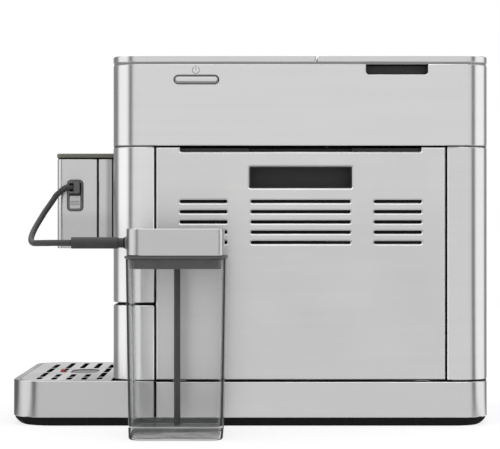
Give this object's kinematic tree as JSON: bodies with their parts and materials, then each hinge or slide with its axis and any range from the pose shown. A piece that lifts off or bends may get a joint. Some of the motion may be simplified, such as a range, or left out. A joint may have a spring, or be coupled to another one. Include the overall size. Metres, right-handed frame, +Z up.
{
  "type": "bean-to-cup coffee machine",
  "caption": "Free-standing bean-to-cup coffee machine in brushed steel, with a height-adjustable spout, drip tray, side service door and a separate glass milk container on a hose.",
  "frame": {"origin": "middle of the whole set's footprint on the counter, with the milk container in its place", "axes": "+Z up, -Y the front with the spout and the drip tray, +X the side with the service door and the milk container"},
  "size_m": [0.437, 0.48, 0.3707],
  "materials": {
    "steel": "brushed",
    "metal": "satin",
    "black": "matt",
    "dark_grey": "satin",
    "cap": "satin",
    "rubber": "matt",
    "hose": "satin",
    "glass": "clear",
    "clear_plastic": "clear",
    "smoked": "smoked",
    "red": "gloss",
    "white": "matt",
    "board": "satin",
    "brass": "satin"
  },
  "bodies": {
    "machine": {"base_pan": "black", "foot_front_left": "rubber", "foot_front_right": "rubber", "foot_rear_left": "rubber", "foot_rear_right": "rubber", "base_plinth": "steel", "left_panel": "steel", "rear_shell": "steel", "front_fascia": "steel", "upper_shell": "steel", "top_deck": "black", "front_top_cover": "steel", "display_glass": "smoked", "control_board": "board", "chassis": "black", "bean_hopper": "smoked", "grinder_housing": "dark_grey", "grinder_motor": "metal", "brew_frame": "dark_grey", "brew_motor": "metal", "water_heater": "metal", "water_pump": "dark_grey", "water_hose": "clear_plastic", "pressure_hose": "white", "power_board": "board", "tank_seat": "black", "mains_inlet": "black", "lid_finger_cup": "dark_grey", "milk_hose": "hose"},
    "spout": {"spout_front": "steel", "spout_rear": "steel", "spout_carriage": "black", "spout_cap": "cap", "coffee_outlets": "black", "milk_outlet": "white", "milk_port": "dark_grey", "milk_plug": "hose"},
    "tab": {"release_tab": "metal"},
    "tray": {"drip_tray": "black", "tray_skirt": "steel", "grounds_front": "steel", "grounds_container": "dark_grey"},
    "grate": {"drip_grate": "steel"},
    "float": {"tray_float": "red"},
    "door": {"service_door": "steel", "door_grip": "dark_grey", "door_pocket": "dark_grey"},
    "tank": {"water_tank": "clear_plastic"},
    "tank_cover": {"tank_lid": "steel"},
    "hopper_cover": {"hopper_lid": "smoked"},
    "dial": {"grind_dial": "dark_grey"},
    "button": {"power_button": "steel"},
    "burr": {"burr_cone": "metal"},
    "spindle": {"brew_spindle": "brass"},
    "piston": {"brew_piston": "metal"},
    "container": {"milk_jug": "glass"},
    "container_lid": {"jug_band": "smoked", "jug_lid": "steel", "suction_tube": "dark_grey", "hose_connector": "hose"}
  },
  "joints": [
    {"name": "spout_height", "type": "slide", "parent": "machine", "child": "spout", "axis": [0, 0, 1], "range_m": [-0.052, 0], "deforming": ["milk_hose"]},
    {"name": "release_tab_push", "type": "slide", "parent": "spout", "child": "tab", "axis": [-1, 0, 0], "range_m": [0, 0.0012], "stiffness_N_per_m": 800, "springref_m": -0.001},
    {"name": "tray_slide", "type": "slide", "parent": "machine", "child": "tray", "axis": [0, -1, 0], "range_m": [0, 0.2]},
    {"name": "grate_lift", "type": "slide", "parent": "tray", "child": "grate", "axis": [0, 0, 1], "range_m": [0, 0.05]},
    {"name": "float_rise", "type": "slide", "parent": "tray", "child": "float", "axis": [0, 0, 1], "range_m": [0, 0.006]},
    {"name": "door_tilt", "type": "hinge", "parent": "machine", "child": "door", "pos_m": [0.0725, 0.05075, 0.046], "axis": [0, 1, 0], "range_deg": [0, 12]},
    {"name": "tank_lift", "type": "slide", "parent": "machine", "child": "tank", "axis": [0, 0, 1], "range_m": [0, 0.2]},
    {"name": "tank_lid_open", "type": "hinge", "parent": "tank", "child": "tank_cover", "pos_m": [-0.2185, 0.153, 0.363], "axis": [0, -1, 0], "range_deg": [0, 90]},
    {"name": "hopper_lid_open", "type": "hinge", "parent": "machine", "child": "hopper_cover", "pos_m": [-0.0725, 0.0452, 0.3707], "axis": [-1, 0, 0], "range_deg": [0, 85]},
    {"name": "grind_dial_turn", "type": "hinge", "parent": "machine", "child": "dial", "pos_m": [-0.0105, -0.021, 0.364], "axis": [0, 0, 1], "range_deg": [-135, 135]},
    {"name": "power_push", "type": "slide", "parent": "machine", "child": "button", "axis": [-1, 0, 0], "range_m": [0, 0.0015], "stiffness_N_per_m": 800, "springref_m": -0.001},
    {"name": "burr_spin", "type": "hinge", "parent": "machine", "child": "burr", "pos_m": [-0.0915, -0.021, 0.225], "axis": [0, 0, 1], "continuous": true},
    {"name": "spindle_turn", "type": "hinge", "parent": "machine", "child": "spindle", "pos_m": [0.0015, 0.006, 0.25], "axis": [0, 0, 1], "range_deg": [0, 540]},
    {"name": "piston_travel", "type": "slide", "parent": "machine", "child": "piston", "axis": [0, 0, 1], "range_m": [-0.036, 0]},
    {"name": "container_slide", "type": "slide", "parent": "machine", "child": "container", "axis": [1, 0, 0], "range_m": [0, 0.03], "deforming": ["milk_hose"]},
    {"name": "milk_lid_lift", "type": "slide", "parent": "container", "child": "container_lid", "axis": [0, 0, 1], "range_m": [0, 0.05], "deforming": ["milk_hose"]}
  ],
  "couplings": [
    {"joint": "spindle_turn", "follows": "piston_travel", "rad_per_m": -261.79}
  ]
}
